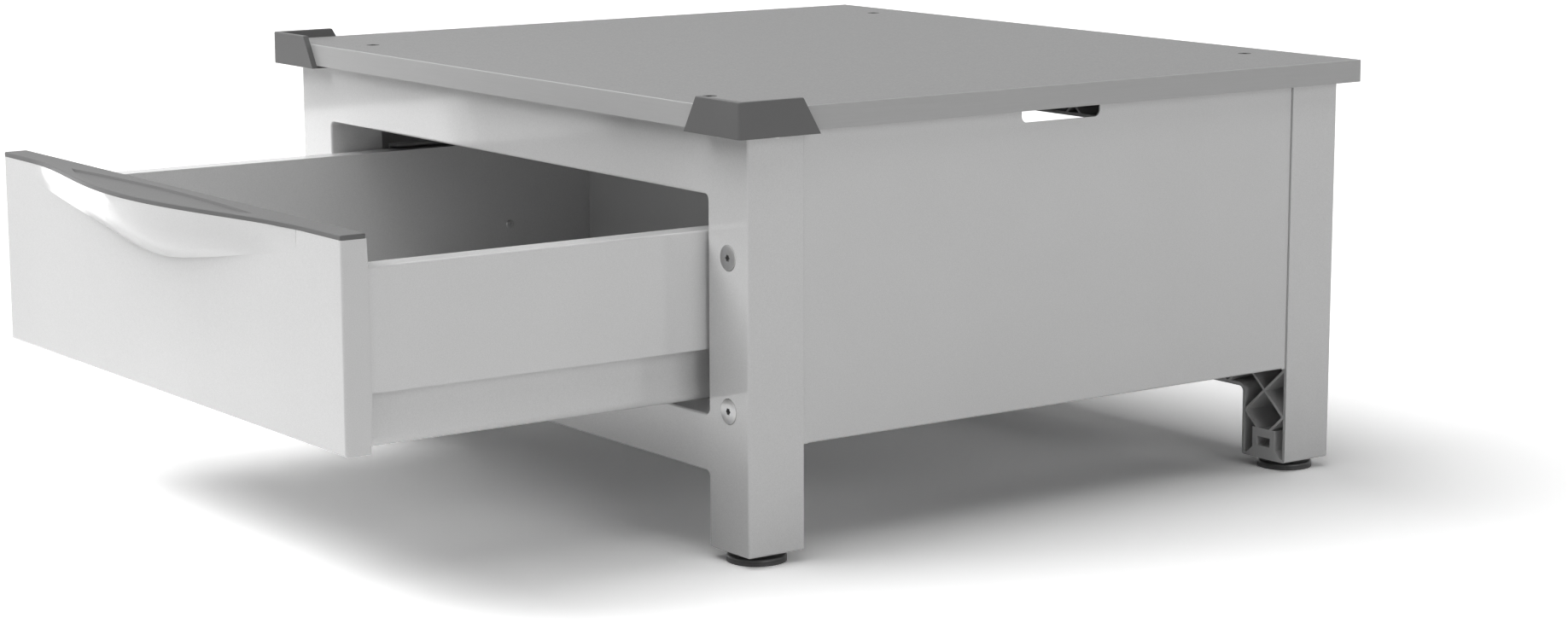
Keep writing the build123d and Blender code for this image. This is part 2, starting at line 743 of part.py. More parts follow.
with BuildPart() as drawer_runner_rivets:
    with BuildSketch(Plane.YZ.offset(tub_inner)):
        with Locations((rivet_middle_y, rivet_z)):
            with GridLocations(rivet_pitch, 1, 3, 1):
                Circle(rivet_head_radius)
    extrude(amount=-rivet_head_height)
    with BuildSketch(Plane.YZ.offset(tub_inner)):
        with Locations((rivet_middle_y, rivet_z)):
            with GridLocations(rivet_pitch, 1, 3, 1):
                Circle(rivet_radius)
    extrude(amount=tub_wall + runner_sheet)
    mirror(drawer_runner_rivets.part, about=Plane.YZ)
save(drawer_runner_rivets, "drawer_runner_rivets")

# Drawer tub: a trough with a flat rim, outer skirts and gussets between wall and skirt
drawer_screw_places = [
    (side * drawer_screw_x, drawer_bottom + level)
    for side in (-1, 1)
    for level in (drawer_screw_low, drawer_screw_high)
]
tub_height = rim_top - drawer_bottom
with BuildPart() as drawer_tub:
    with BuildSketch(Plane.XZ.offset(-drawer_back_y)) as tub_section:
        with Locations((0, drawer_bottom)):
            Rectangle(2 * tub_side, tub_height, align=(Align.CENTER, Align.MIN))
        fillet(tub_section.vertices().group_by(Axis.Y)[0], tub_floor_round)
        with Locations((0, rim_top)):
            Rectangle(2 * tub_outer, tub_wall, align=(Align.CENTER, Align.MAX))
        with Locations((-tub_outer, rim_top)):
            Rectangle(skirt_wall, skirt_height, align=(Align.MIN, Align.MAX))
        with Locations((tub_outer, rim_top)):
            Rectangle(skirt_wall, skirt_height, align=(Align.MAX, Align.MAX))
        fillet(tub_section.vertices().group_by(Axis.Y)[-1], rim_round)
    extrude(amount=-tub_length)
    with BuildSketch(Plane.XY.offset(rim_top)) as tub_cavity:
        with Locations((0, drawer_back_y + tub_wall)):
            Rectangle(2 * tub_inner, tub_length - tub_wall, align=(Align.CENTER, Align.MIN))
        fillet(tub_cavity.vertices().group_by(Axis.Y)[0], tub_corner)
    extrude(amount=tub_wall - tub_height, mode=Mode.SUBTRACT)
    floor_level = drawer_bottom + tub_wall
    floor_edges = drawer_tub.faces().filter_by(lambda f: abs(f.center().Z - floor_level) < 0.01).edges()
    fillet(floor_edges.filter_by(lambda e: e.center().Y < tub_back_y - 0.01), tub_inside_round)
    gusset_width = rim_width - tub_wall - skirt_wall
    with BuildSketch(Plane.XY.offset(rim_top - tub_wall)):
        with Locations((tub_side + gusset_width / 2, (drawer_back_y + tub_back_y) / 2)):
            with GridLocations(1, gusset_pitch, 1, gusset_count):
                Rectangle(gusset_width, gusset_thickness)
        mirror(about=Plane.YZ)
    extrude(amount=-gusset_height)
    with BuildSketch(Plane.YZ.offset(tub_inner)):
        with Locations((rivet_middle_y, rivet_z)):
            with GridLocations(rivet_pitch, 1, 3, 1):
                Circle(rivet_radius + thread_clearance)
    extrude(amount=tub_wall, mode=Mode.SUBTRACT)
    with BuildSketch(Plane.YZ.offset(-tub_inner)):
        with Locations((rivet_middle_y, rivet_z)):
            with GridLocations(rivet_pitch, 1, 3, 1):
                Circle(rivet_radius + thread_clearance)
    extrude(amount=-tub_wall, mode=Mode.SUBTRACT)
    with BuildSketch(Plane.XZ.offset(-drawer_back_y)):
        with Locations(*drawer_screw_places):
            Circle(drawer_screw_radius + screw_hole_clearance)
    extrude(amount=-tub_wall, mode=Mode.SUBTRACT)
save(drawer_tub, "drawer_tub")

# Back panel of the tub, welded to the end of the trough, with a lip at the top that stiffens it
with BuildPart() as drawer_back:
    with BuildSketch(Plane.XZ.offset(-tub_back_y)) as back_outline:
        with Locations((0, drawer_bottom)):
            Rectangle(2 * tub_side, tub_height, align=(Align.CENTER, Align.MIN))
        fillet(back_outline.vertices().group_by(Axis.Y)[0], tub_floor_round)
    extrude(amount=-tub_wall)
    with BuildSketch(Plane.XY.offset(rim_top)) as lip_plan:
        with Locations((0, tub_back_y)):
            Rectangle(2 * tub_outer, back_lip + 2 * tub_wall, align=(Align.CENTER, Align.MIN))
        fillet(lip_plan.vertices().group_by(Axis.Y)[-1], back_lip_corner)
    extrude(amount=-tub_wall)
save(drawer_back, "drawer_back")

with BuildPart() as drawer_front_screws:
    with BuildSketch(Plane.XZ.offset(-drawer_back_y - tub_wall)):
        with Locations(*drawer_screw_places):
            Circle(drawer_screw_head_radius)
    extrude(amount=-drawer_screw_head_height)
    with BuildSketch(Plane.XZ.offset(-drawer_back_y - tub_wall)):
        with Locations(*drawer_screw_places):
            Circle(drawer_screw_radius)
    extrude(amount=drawer_screw_length)
save(drawer_front_screws, "drawer_front_screws")


# The lip swells out of the drawer front below the cap and fades away towards both ends
def lip_reach(x):
    """How far the lip stands out of the drawer front at x."""
    return lip_depth * (1 - (x / lip_half_length) ** 2) ** 2


def lip_crease(x):
    """Height at x of the crease where the lip leaves the flat front."""
    return front_top - lip_drop + math.hypot(lip_crease_slope * x, lip_crease_blend) - lip_crease_blend


lip_end = lip_half_length * lip_end_share
lip_stations = [lip_end * (2 * step / lip_bays - 1) for step in range(lip_bays + 1)]
with BuildPart() as drawer_lip:
    for station in lip_stations:
        reach = lip_reach(station)
        crease = lip_crease(station)
        rise = front_top - crease
        root = (drawer_front_y + lip_root, crease - lip_root * rise / reach)
        belly = (
            drawer_front_y - reach / 2 - lip_belly * rise * reach / math.hypot(rise, reach),
            (crease + front_top) / 2 - lip_belly * reach * reach / math.hypot(rise, reach),
        )
        with BuildSketch(Plane.YZ.offset(station)):
            with BuildLine():
                ThreePointArc((drawer_front_y, crease), belly, (drawer_front_y - reach, front_top))
                Polyline(
                    (drawer_front_y - reach, front_top),
                    (drawer_front_y + lip_root, front_top),
                    (drawer_front_y + lip_root, crease),
                    (drawer_front_y, crease),
                )
            make_face()
    loft()

# Drawer front: a shell open to the back, with ribs, screw bosses, bowed cheeks and the lip
with BuildPart() as drawer_front:
    with BuildSketch(Plane.XZ.offset(-drawer_back_y)):
        with Locations((0, drawer_bottom)):
            Rectangle(2 * drawer_half, front_height, align=(Align.CENTER, Align.MIN))
    extrude(amount=front_thickness)
    fillet(drawer_front.faces().sort_by(Axis.Y)[0].edges().sort_by(Axis.Z)[:-1], front_edge_round)
    add(drawer_lip.part)
    for cheek_x in (-drawer_half, drawer_half - cheek_thickness):
        with BuildSketch(Plane.YZ.offset(cheek_x)):
            with BuildLine():
                ThreePointArc(
                    (drawer_back_y, drawer_bottom),
                    (drawer_back_y + cheek_bow, drawer_bottom + front_height / 2),
                    (drawer_back_y, front_top),
                )
                Line((drawer_back_y, front_top), (drawer_back_y, drawer_bottom))
            make_face()
        extrude(amount=cheek_thickness)
    with BuildSketch(Plane.XZ.offset(-drawer_back_y)):
        pocket_height = tub_height - 2 * front_pocket_margin
        with Locations((0, drawer_bottom + tub_height / 2)):
            Rectangle(2 * (drawer_half - front_pocket_margin), pocket_height)
            with GridLocations(front_rib_pitch, 1, 2 * int(drawer_half / front_rib_pitch), 1):
                Rectangle(rib_thickness, pocket_height, mode=Mode.SUBTRACT)
        with Locations(*drawer_screw_places):
            Circle(front_boss_radius, mode=Mode.SUBTRACT)
    extrude(amount=front_thickness - front_skin, mode=Mode.SUBTRACT)
    with BuildSketch(Plane.XZ.offset(-drawer_back_y)):
        with Locations(*drawer_screw_places):
            Circle(drawer_screw_radius + thread_clearance)
    extrude(amount=drawer_screw_length - tub_wall, mode=Mode.SUBTRACT)
    with BuildSketch(Plane.XY.offset(front_top)):
        with Locations((0, drawer_front_y + front_thickness / 2)):
            slot_play = 2 * cap_tongue_clearance
            Rectangle(cap_tongue_length + slot_play, cap_tongue_width + slot_play)
    extrude(amount=-cap_tongue_depth - cap_tongue_clearance, mode=Mode.SUBTRACT)
save(drawer_front, "drawer_front")

# Handle cap: follows the lip's edge, with a lens-shaped grip hollow and a tongue in the drawer front
cap_top = front_top + cap_thickness
lip_edge = [(x, drawer_front_y - lip_reach(x)) for x in [-lip_half_length, *lip_stations, lip_half_length]]
groove_end_y = drawer_front_y + groove_end_reach
with BuildPart() as handle_cap:
    with BuildSketch(Plane.XY.offset(front_top)) as cap_plan:
        with BuildLine():
            Spline(*lip_edge, tangents=((1, 0), (1, 0)))
            Polyline(
                (lip_half_length, drawer_front_y),
                (drawer_half, drawer_front_y),
                (drawer_half, drawer_back_y),
                (-drawer_half, drawer_back_y),
                (-drawer_half, drawer_front_y),
                (-lip_half_length, drawer_front_y),
            )
        make_face()
        fillet(cap_plan.vertices().filter_by(lambda v: abs(v.X) > drawer_half - 0.01), front_edge_round)
    extrude(amount=cap_thickness)
    fillet(handle_cap.faces().sort_by(Axis.Z)[-1].edges(), cap_edge_round)
    with BuildSketch(Plane.XY.offset(cap_top)):
        with BuildLine():
            ThreePointArc(
                (-groove_half_length, groove_end_y),
                (0, drawer_front_y + groove_back_reach),
                (groove_half_length, groove_end_y),
            )
            ThreePointArc(
                (groove_half_length, groove_end_y),
                (0, drawer_front_y - lip_depth + groove_front_margin),
                (-groove_half_length, groove_end_y),
            )
        make_face()
    extrude(amount=-groove_depth, taper=groove_taper, mode=Mode.SUBTRACT)
    with BuildSketch(Plane.XY.offset(front_top)):
        with Locations((0, drawer_front_y + front_thickness / 2)):
            Rectangle(cap_tongue_length, cap_tongue_width)
    extrude(amount=-cap_tongue_depth)
save(handle_cap, "handle_cap")

# Levelling feet: round pads on threaded studs, each stud in a nut held in the leg's foot boss
stud_bottom = foot_thickness - stud_sunk
hub_top = leg_clear - foot_gap
with BuildPart() as foot:
    with BuildSketch(Plane.XZ) as foot_profile:
        with BuildLine():
            Polyline(
                (0, 0),
                (foot_radius, 0),
                (foot_radius, foot_thickness),
                (foot_hub_radius, foot_thickness),
                (foot_hub_radius, hub_top),
                (stud_radius + thread_clearance, hub_top),
                (stud_radius + thread_clearance, stud_bottom),
                (0, stud_bottom),
                close=True,
            )
        make_face()
        rim_corners = foot_profile.vertices().filter_by(lambda v: v.X > foot_radius - 0.01)
        fillet(rim_corners.sort_by(Axis.Y)[-1], foot_edge_round)
        chamfer(rim_corners.sort_by(Axis.Y)[0], foot_edge_round / 2)
    revolve(axis=Axis.Z)

with BuildPart() as stud:
    with BuildSketch(Plane.XY.offset(stud_bottom)):
        Circle(stud_radius)
    extrude(amount=stud_top - stud_bottom)
    chamfer(stud.edges().sort_by(Axis.Z)[-1], stud_chamfer)

foot_places = {
    "front_left": (-leg_x, -frame_mid_y),
    "front_right": (leg_x, -frame_mid_y),
    "rear_left": (-leg_x, frame_mid_y),
    "rear_right": (leg_x, frame_mid_y),
}
for corner, place in foot_places.items():
    with BuildPart() as foot_pad:
        with Locations(place):
            add(foot.part)
    save(foot_pad, f"foot_pad_{corner}")
    with BuildPart() as foot_stud:
        with Locations(place):
            add(stud.part)
    save(foot_stud, f"foot_stud_{corner}")

with BuildPart() as foot_nuts:
    with BuildSketch(Plane.XY.offset(foot_nut_bottom)):
        with Locations(*foot_places.values()):
            RegularPolygon(foot_nut_flats / 2, 6, major_radius=False, rotation=30)
            Circle(stud_radius + running_clearance, mode=Mode.SUBTRACT)
    extrude(amount=foot_nut_height)
save(foot_nuts, "foot_nuts")
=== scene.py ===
# %% [markdown]
# An appliance pedestal, dressed for the studio
#
# A washing machine or a dryer stands on this raised base, which keeps the laundry things in a drawer.
# A grey chipboard deck lies on two moulded leg frames, sheet-metal sides close it, and a white plastic
# drawer runs out at the front. The CAD model already has every piece at its real size and place.
# This file adds what the eye sees: how each surface takes the light, the fine fastener detail that
# a CAD model leaves plain, a floor, soft light and a camera.
#
# The first step loads the CAD model. It is a fixed frame: each node keeps its place, and everything
# made here is placed by asking the frame where its pieces are. A new Blender file also holds a cube, a
# lamp and a camera, and these go first, so that only the pedestal is measured. Blender counts in
# metres, so small sizes are written in units of a millimetre.

# %% Load the frame
import json
import math

import bmesh
import bpy
from mathutils import Matrix, Vector

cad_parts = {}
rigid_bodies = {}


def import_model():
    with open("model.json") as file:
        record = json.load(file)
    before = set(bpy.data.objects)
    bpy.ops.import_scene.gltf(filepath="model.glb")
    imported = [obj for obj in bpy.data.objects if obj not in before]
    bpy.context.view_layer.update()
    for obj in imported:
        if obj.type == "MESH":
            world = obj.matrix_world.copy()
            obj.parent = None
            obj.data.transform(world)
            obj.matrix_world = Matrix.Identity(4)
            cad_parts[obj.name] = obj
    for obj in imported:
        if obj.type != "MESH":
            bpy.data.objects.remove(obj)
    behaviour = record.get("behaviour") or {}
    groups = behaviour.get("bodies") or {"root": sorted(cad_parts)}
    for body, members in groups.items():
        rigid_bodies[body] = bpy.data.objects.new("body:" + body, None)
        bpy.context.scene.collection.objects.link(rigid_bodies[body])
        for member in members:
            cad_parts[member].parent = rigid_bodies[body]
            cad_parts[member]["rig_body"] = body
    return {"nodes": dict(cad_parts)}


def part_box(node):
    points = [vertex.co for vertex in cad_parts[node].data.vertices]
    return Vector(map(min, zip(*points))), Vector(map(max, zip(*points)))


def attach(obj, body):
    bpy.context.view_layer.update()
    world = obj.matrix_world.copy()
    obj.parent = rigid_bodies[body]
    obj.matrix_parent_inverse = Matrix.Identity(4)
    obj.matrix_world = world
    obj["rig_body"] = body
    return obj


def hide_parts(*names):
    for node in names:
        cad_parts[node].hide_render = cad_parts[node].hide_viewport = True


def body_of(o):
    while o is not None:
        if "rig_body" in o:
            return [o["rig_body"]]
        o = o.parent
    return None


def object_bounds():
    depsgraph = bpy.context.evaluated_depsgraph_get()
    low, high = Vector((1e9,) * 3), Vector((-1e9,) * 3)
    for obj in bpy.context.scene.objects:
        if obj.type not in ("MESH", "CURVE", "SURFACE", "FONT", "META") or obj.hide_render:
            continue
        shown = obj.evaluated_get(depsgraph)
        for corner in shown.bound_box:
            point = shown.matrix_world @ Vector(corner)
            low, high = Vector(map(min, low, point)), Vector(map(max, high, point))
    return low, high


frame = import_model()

for starter in ("Cube", "Light", "Camera"):
    if starter in bpy.data.objects:
        bpy.data.objects.remove(bpy.data.objects[starter])

MM = 0.001
nodes = frame["nodes"]
cad_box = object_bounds()
print("pieces from the frame:", len(nodes))
print("lowest and highest corner, in metres:", [tuple(round(c, 4) for c in corner) for corner in cad_box])

# %% [markdown]
# A photograph fixes a camera by its perspective. The pedestal was taken from the right, a little above
# its deck, with a long lens about two and a half metres away. A long lens keeps parallel edges almost
# parallel, so a small error in the distance shows as a wrong slope on the far edges. The camera is
# turned in plain steps: up from looking straight down, round to the left, and a very slight roll.

# %% Camera
LENS_MM = 76.14
SENSOR_MM = 36.0
CAMERA_PLACE = Vector((2.00439, -1.47480, 0.53725))
CAMERA_YAW = 0.942
CAMERA_PITCH = 0.175
CAMERA_ROLL = -0.002


def aim(yaw, pitch, roll):
    """Rotation of a camera turned left by yaw from looking along +Y, then down by pitch, and rolled."""
    upright = Matrix.Rotation(math.pi / 2 - pitch, 3, "X")
    return Matrix.Rotation(yaw, 3, "Z") @ upright @ Matrix.Rotation(roll, 3, "Z")


lens = bpy.data.cameras.new("photo_camera")
lens.lens = LENS_MM
lens.sensor_width = SENSOR_MM
lens.sensor_fit = "HORIZONTAL"
camera = bpy.data.objects.new("photo_camera", lens)
camera.location = CAMERA_PLACE
camera.rotation_euler = aim(CAMERA_YAW, CAMERA_PITCH, CAMERA_ROLL).to_euler()
bpy.context.scene.collection.objects.link(camera)
bpy.context.scene.camera = camera
deck_middle = Vector((0, 0, cad_box[1].z))
print("camera to the middle of the deck:", round((CAMERA_PLACE - deck_middle).length, 2), "m")

# %% [markdown]
# Materials and Geometry Nodes are both node trees, and long chains of Math nodes are hard to read. So a
# socket is wrapped in a small class that understands plus, minus and times: writing `1 - mask` adds
# the Subtract node. Every other node comes from one method, `add`, which sets the node's options first
# and its sockets afterwards. A socket takes a number, a colour, a link, or a list of links.


# %% A socket to write sums with, and a tree that adds nodes
class Socket:
    """A socket of a node tree. A sum written with it adds the Math nodes that work it out."""

    def __init__(self, tree, link):
        self.tree = tree
        self.link = link

    def beside(self, name):
        """Another output of the same node."""
        return Socket(self.tree, self.link.node.outputs[name])

    def __add__(self, other):
        return self.tree.math("ADD", self, other)

    def __sub__(self, other):
        return self.tree.math("SUBTRACT", self, other)

    def __rsub__(self, other):
        return self.tree.math("SUBTRACT", other, self)

    def __neg__(self):
        return self.tree.math("SUBTRACT", 0.0, self)

    def __mul__(self, other):
        return self.tree.math("MULTIPLY", self, other)

    def __truediv__(self, other):
        return self.tree.math("DIVIDE", self, other)

    def __pow__(self, other):
        return self.tree.math("POWER", self, other)

    __radd__ = __add__
    __rmul__ = __mul__


class Tree:
    """A node tree with one method that adds any node to it."""

    def __init__(self, tree):
        self.tree = tree

    def add(self, kind, settings=None, sockets=None, output=0):
        """Add a node, set its settings and then its sockets, and give one of its outputs."""
        node = self.tree.nodes.new(kind)
        for name, value in (settings or {}).items():
            if name == "choices":
                while len(node.index_switch_items) < value:
                    node.index_switch_items.new()
            else:
                setattr(node, name, value)
        for name, value in (sockets or {}).items():
            links = value if isinstance(value, list) else [value]
            if isinstance(links[0], Socket):
                for socket in links:
                    self.tree.links.new(socket.link, node.inputs[name])
            else:
                node.inputs[name].default_value = value
        return Socket(self, node.outputs[output])

    def math(self, operation, first, second=0.0):
        """One Math node on sockets or plain numbers."""
        return self.add("ShaderNodeMath", {"operation": operation}, {0: first, 1: second})


print("node trees are written with:", Socket.__name__, "and", Tree.__name__)

# %% [markdown]
# White plastic on a white ground shows its form only by shade, so the light has a clear side. The key
# lamp stands high in front, to the left, and a weaker one beside it widens its light. Two lamps on the
# right keep the side panel from going grey, and one behind draws the far edges. They are sun lamps,
# whose light doesn't fall off over the floor, and each is as wide in the sky as a large softbox.
#
# Two lamps the size of a sheet of card stand nearer, and both face the drawer's front. The first adds
# a little to the front from above. The other stands at the floor on the left, where the hollow side of
# the drawer's lip mirrors it as a bright streak. The camera sees none of the lamps.
#
# Lamps are listed by their direction round the pedestal and their height, both in degrees, then the
# light that they give a white sheet facing them, where 1 shows it as white, and their width in degrees.
# A Blender sun lamp of pi gives a light of 1. Cards are listed by place, watts, and width in metres.
#
# The dome of the world gives no soft light. It is there to be seen, white to the camera and in
# reflections.

# %% Light
LAMPS = {
    "key_lamp": (-45, 60, 0.61, 55),
    "left_lamp": (-70, 45, 0.14, 50),
    "right_lamp": (45, 60, 0.15, 35),
    "side_lamp": (90, 15, 0.235, 35),
    "rear_lamp": (150, 40, 0.085, 35),
}
CARDS = {
    "front_card": (Vector((-0.2, -1.1, 0.8)), 3.4, 0.4),
    "low_card": (Vector((-0.66, -0.46, 0.0)), 1.0, 0.4),
}

world = bpy.data.worlds.new("studio_dome")
world.use_nodes = True
bpy.context.scene.world = world
bpy.context.scene.view_settings.view_transform = "Standard"


def seen_directly(tree):
    """1 for a ray from the camera or off a shiny surface, 0 for a ray that carries soft light."""
    camera_ray = tree.add("ShaderNodeLightPath", output="Is Camera Ray")
    return camera_ray + camera_ray.beside("Is Glossy Ray") + camera_ray.beside("Is Transmission Ray")


dome_strength = seen_directly(Tree(world.node_tree))
background = world.node_tree.nodes["Background"]
background.inputs["Color"].default_value = (1, 1, 1, 1)
world.node_tree.links.new(dome_strength.link, background.inputs["Strength"])


def add_lamp(name, kind, place, towards, **settings):
    """A lamp at a place, aimed at another."""
    light = bpy.data.lights.new(name, kind)
    for setting, value in settings.items():
        setattr(light, setting, value)
    lamp = bpy.data.objects.new(name, light)
    lamp.location = place
    lamp.rotation_euler = (place - towards).to_track_quat("Z", "Y").to_euler()
    lamp.visible_camera = False
    bpy.context.scene.collection.objects.link(lamp)


def middle(name):
    """Middle of a CAD node's box."""
    low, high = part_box(name)
    return (low + high) / 2


level_ground_light = 0
for name, (round_angle, height, level, width) in LAMPS.items():
    swing = Matrix.Rotation(math.radians(round_angle), 3, "Z")
    climb = Matrix.Rotation(math.radians(-height), 3, "X")
    sky_place = swing @ climb @ Vector((0, -1, 0))
    add_lamp(name, "SUN", sky_place, Vector((0, 0, 0)), energy=level * math.pi, angle=math.radians(width))
    level_ground_light += level * math.sin(math.radians(height))
    print(name, "comes from", [round(c, 2) for c in sky_place])
for name, (place, watts, width) in CARDS.items():
    add_lamp(name, "AREA", place, middle("drawer_front"), energy=watts, size=width)
print("light on level ground, where 1 shows white as white:", round(level_ground_light, 3))

# %% [markdown]
# The floor is one large plane. To soft light it is an ordinary pale floor, which lifts the shade on the
# pedestal's lower parts. To the camera its colour is white divided by the light that falls on open
# ground, so it comes out white there and melts into the white background, while its shadows stay. A
# photographer overexposes such a ground a little, so that only the core of a shadow keeps its tone.

# %% Floor
FLOOR_REACH = 40.0
FLOOR_COLOUR = 0.83
OVEREXPOSURE = 1.2

paint = bpy.data.materials.new("studio_floor")
paint.use_nodes = True
paint.node_tree.nodes.clear()
ground = Tree(paint.node_tree)
white_ground = OVEREXPOSURE / level_ground_light
ground_colour = FLOOR_COLOUR + (white_ground - FLOOR_COLOUR) * seen_directly(ground)
matt = ground.add("ShaderNodeBsdfDiffuse", None, {"Color": ground_colour})
ground_output = paint.node_tree.nodes.new("ShaderNodeOutputMaterial")
paint.node_tree.links.new(matt.link, ground_output.inputs["Surface"])

ground_level = cad_box[0].z
floor_mesh = bpy.data.meshes.new("floor")
square = ((-1, -1), (1, -1), (1, 1), (-1, 1))
corners = [(x * FLOOR_REACH, y * FLOOR_REACH, ground_level) for x, y in square]
floor_mesh.from_pydata(corners, [], [(0, 1, 2, 3)])
floor_mesh.materials.append(paint)
floor = bpy.data.objects.new("floor", floor_mesh)
bpy.context.scene.collection.objects.link(floor)
print("floor at height", round(ground_level, 4), "m")

# %% [markdown]
# A finish is one Principled shader with a pattern behind a few of its sockets. `Finish` starts such a
# material. Its patterns read Object coordinates, which are metres on the real object, so a noise of
# scale 1000 has cells of one millimetre. Three things make nearly every real surface here: a slight
# shift between two colours, uneven gloss, and a relief of a few hundredths of a millimetre.


# %% A finish
class Finish(Tree):
    """A material with one Principled shader. Constants are set here, by the names of its sockets."""

    def __init__(self, name, **constants):
        self.material = bpy.data.materials.new(name)
        self.material.use_nodes = True
        super().__init__(self.material.node_tree)
        self.shader = self.tree.nodes["Principled BSDF"]
        self.place = self.add("ShaderNodeTexCoord", output="Object")
        for socket, value in constants.items():
            self.shader.inputs[socket.replace("_", " ")].default_value = value

    def noise(self, scale, detail=2.0, stretch=(1, 1, 1)):
        """Soft random values about 0.5, with so many cells to the metre."""
        place = self.add("ShaderNodeMapping", None, {"Vector": self.place, "Scale": stretch})
        return self.add("ShaderNodeTexNoise", None, {"Vector": place, "Scale": scale, "Detail": detail})

    def fine_grain(self):
        """Half-millimetre grain about 0.5, with a slow cloud under it."""
        return 0.8 * self.noise(1600, detail=1) + 0.2 * self.noise(12, detail=1)

    def grains(self, scale):
        """Distance to the nearest of many scattered points, for specks and crystals."""
        return self.add("ShaderNodeTexVoronoi", None, {"Vector": self.place, "Scale": scale})

    def sharper(self, value, low, high):
        """Stretch the values between low and high to 0 and 1, and cut off the rest."""
        sockets = {"Value": value, "From Min": low, "From Max": high}
        return self.add("ShaderNodeMapRange", {"clamp": True}, sockets)

    def between(self, share, first, second):
        """A colour that goes from first to second as share goes from 0 to 1."""
        ends = [end if isinstance(end, Socket) else (*end, 1) for end in (first, second)]
        settings = {"data_type": "RGBA", "clamp_factor": True}
        factor, colour_a, colour_b, colour = 0, 6, 7, 2
        sockets = {factor: share, colour_a: ends[0], colour_b: ends[1]}
        return self.add("ShaderNodeMix", settings, sockets, output=colour)

    def drive(self, **links):
        """Link sockets of the shader."""
        for name, value in links.items():
            self.tree.links.new(value.link, self.shader.inputs[name.replace("_", " ")])

    def relief(self, height, depth):
        """Bump the surface: a height of 1 stands for that depth in metres."""
        self.drive(Normal=self.add("ShaderNodeBump", None, {"Height": height, "Distance": depth}))


def grey(level):
    """A neutral colour of that level."""
    return (level, level, level)


def dress(finish, *names):
    """Give a finish to CAD nodes."""
    for name in names:
        for slot in nodes[name].material_slots:
            slot.material = finish.material
    print(finish.material.name, "on", ", ".join(names))


print("finishes are started by:", Finish.__name__, "and put on by:", dress.__name__)

# %% [markdown]
# The leg frames and the drawer's front come from polished moulds, so they are glossy: the leg mirrors
# the side of the drawer beside it. What tells plastic from paint is that the reflection is never quite
# flat. Ribs behind the skin pull it in by a few hundredths of a millimetre, so a slow noise of about
# thirty millimetres bends the reflections, and one of about ten varies the gloss. Close up, all the
# white surfaces have a fine grain, which is a noise of half a millimetre in their colour.


# %% Moulded white plastic
def moulded_white():
    finish = Finish("moulded_white", IOR=1.5)
    finish.drive(Base_Color=finish.between(finish.fine_grain(), grey(0.53), grey(0.69)))
    finish.drive(Roughness=0.07 + 0.04 * finish.noise(90))
    finish.relief(finish.noise(32, detail=0), 0.12 * MM)
    return finish


dress(moulded_white(), "front_frame", "rear_frame", "drawer_front")

# %% [markdown]
# The drawer's tub is a slightly lighter white, from an eroded mould that leaves it satin, because a
# glossy tub would show every scratch. Its relief is the mould's texture, with dimples of a millimetre.


# %% Satin white plastic of the tub
def satin_white():
    finish = Finish("satin_white", IOR=1.5)
    finish.drive(Base_Color=finish.between(finish.fine_grain(), grey(0.57), grey(0.73)))
    finish.drive(Roughness=0.10 + 0.05 * finish.noise(260))
    finish.relief(finish.noise(1100, detail=2), 0.01 * MM)
    return finish


dress(satin_white(), "drawer_tub", "drawer_back")

# %% [markdown]
# Side panels and runners are sheet steel with a powder coat. Powder melts into a skin that stays
# slightly lumpy, like orange peel, with dimples two or three millimetres across. The dimples don't
# change the colour. They only show where light glances off, so they belong in the relief. The number
# of each coat is the middle of its grey, and the grain goes equally far to both sides of it.

# %% Powder-coated sheet
GRAIN_SPREAD = 0.08


def powder_coat(name, level):
    finish = Finish(name, IOR=1.5)
    ends = grey(level - GRAIN_SPREAD), grey(level + GRAIN_SPREAD)
    finish.drive(Base_Color=finish.between(finish.fine_grain(), *ends))
    finish.drive(Roughness=0.30 + 0.14 * finish.noise(420))
    peel = finish.noise(380, detail=1)
    finish.relief(peel + 0.25 * finish.noise(1500, detail=0), 0.05 * MM)
    return finish


SIDES = ("left", "right")
ENDS = ("front", "rear")
dress(powder_coat("powder_white", 0.60), *[f"side_panel_{side}" for side in SIDES])
runners = [f"{kind}_runner_{side}" for kind in ("cabinet", "drawer") for side in SIDES]
dress(powder_coat("runner_white", 0.54), *runners)
dress(powder_coat("bracket_grey", 0.28), *[f"rail_bracket_{side}" for side in SIDES])

# %% [markdown]
# The deck is chipboard under a grey melamine skin. Such a skin has a printed speckle, lighter and darker
# specks about a millimetre across, under a fine pearl texture that keeps it from shining. The light
# meets it at a very flat angle here, where even matt surfaces turn glossy, so its specular level is low.


# %% Melamine board
def melamine():
    finish = Finish("melamine_grey", Specular_IOR_Level=0.3)
    specks = finish.sharper(finish.grains(620), 0.25, 0.75)
    cloud = finish.noise(240, detail=3)
    finish.drive(Base_Color=finish.between(0.5 * specks + 0.5 * cloud, grey(0.226), grey(0.278)))
    finish.drive(Roughness=0.58 + 0.12 * finish.noise(700))
    finish.relief(finish.noise(900, detail=2), 0.03 * MM)
    return finish


dress(melamine(), "deck_board")

# %% [markdown]
# The board's edges are closed by a plastic band, glued on from a roll and trimmed flush. Its surface
# has faint lines along the roll, so its noise is stretched: fine across the band, long along it. The
# stretch is level, so one pattern serves all four edges.


# %% Edge band
def edge_band():
    finish = Finish("edge_band", Specular_IOR_Level=0.4)
    lines = finish.noise(900, detail=2, stretch=(0.02, 0.02, 1.0))
    finish.drive(Base_Color=finish.between(lines, grey(0.38), grey(0.42)))
    finish.drive(Roughness=0.42 + 0.16 * lines)
    finish.relief(lines, 0.04 * MM)
    return finish


dress(edge_band(), "deck_edge_band")

# %% [markdown]
# The corner stops and the cap over the drawer's front are dark grey plastic with a deep spark-eroded
# grain. The grain scatters the light, which makes them look dry beside the glossy white.


